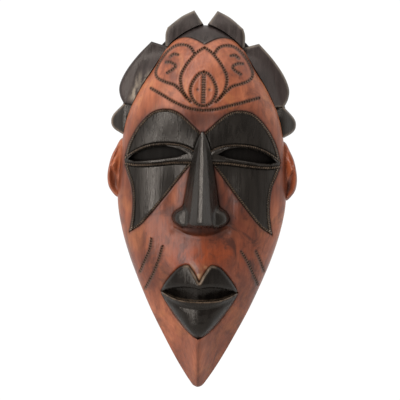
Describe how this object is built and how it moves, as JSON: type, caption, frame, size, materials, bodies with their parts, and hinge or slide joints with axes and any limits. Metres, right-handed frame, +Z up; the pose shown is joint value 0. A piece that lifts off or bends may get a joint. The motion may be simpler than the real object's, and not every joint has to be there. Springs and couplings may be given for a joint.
{
  "type": "carved wooden wall mask",
  "caption": "Carved wooden wall mask: long pointed face, black brow, cheek, nose and lip carving, scalloped hair crest, hollow back with a ring hanger.",
  "frame": {"origin": "the nail that the hanger ring hangs on, where it leaves the wall: on the wall plane, under the top of the ring's gap, on the mask's symmetry plane", "axes": "+Z up to the crown, -Y out of the wall through the nose, +X to the right as a person looking at the mask sees it"},
  "size_m": [0.1758, 0.0885, 0.349],
  "materials": {
    "brown_wood": "waxed, satin to gloss",
    "black_wood": "black dye, polished",
    "recess_black": "black dye, matte",
    "zinc_steel": "zinc plated, dull",
    "screw_steel": "brass plated, satin"
  },
  "bodies": {
    "mask": {"brow_panel_left": "black_wood", "brow_panel_right": "black_wood", "cheek_panel_left": "black_wood", "cheek_panel_right": "black_wood", "ear_left": "brown_wood", "ear_right": "brown_wood", "eye_left": "recess_black", "eye_right": "recess_black", "face_shell": "brown_wood", "hair_band": "black_wood", "hair_cap": "black_wood", "hair_lobe_low_left": "black_wood", "hair_lobe_low_right": "black_wood", "hair_lobe_side_left": "black_wood", "hair_lobe_side_right": "black_wood", "hair_lobe_top_left": "black_wood", "hair_lobe_top_right": "black_wood", "hanger_screws": "screw_steel", "hanger_strap": "zinc_steel", "lower_eyelid_left": "black_wood", "lower_eyelid_right": "black_wood", "lower_lip": "black_wood", "nose_bridge": "black_wood", "nose_wing_left": "black_wood", "nose_wing_right": "black_wood", "upper_eyelid_left": "black_wood", "upper_eyelid_right": "black_wood", "upper_lip": "black_wood"},
    "ring": {"hanger_ring": "zinc_steel"}
  },
  "joints": [
    {"name": "ring_hinge", "type": "hinge", "parent": "mask", "child": "ring", "pos_m": [0, -0.00365, -0.0116], "axis": [-1, 0, 0], "range_deg": [0, 180]}
  ]
}
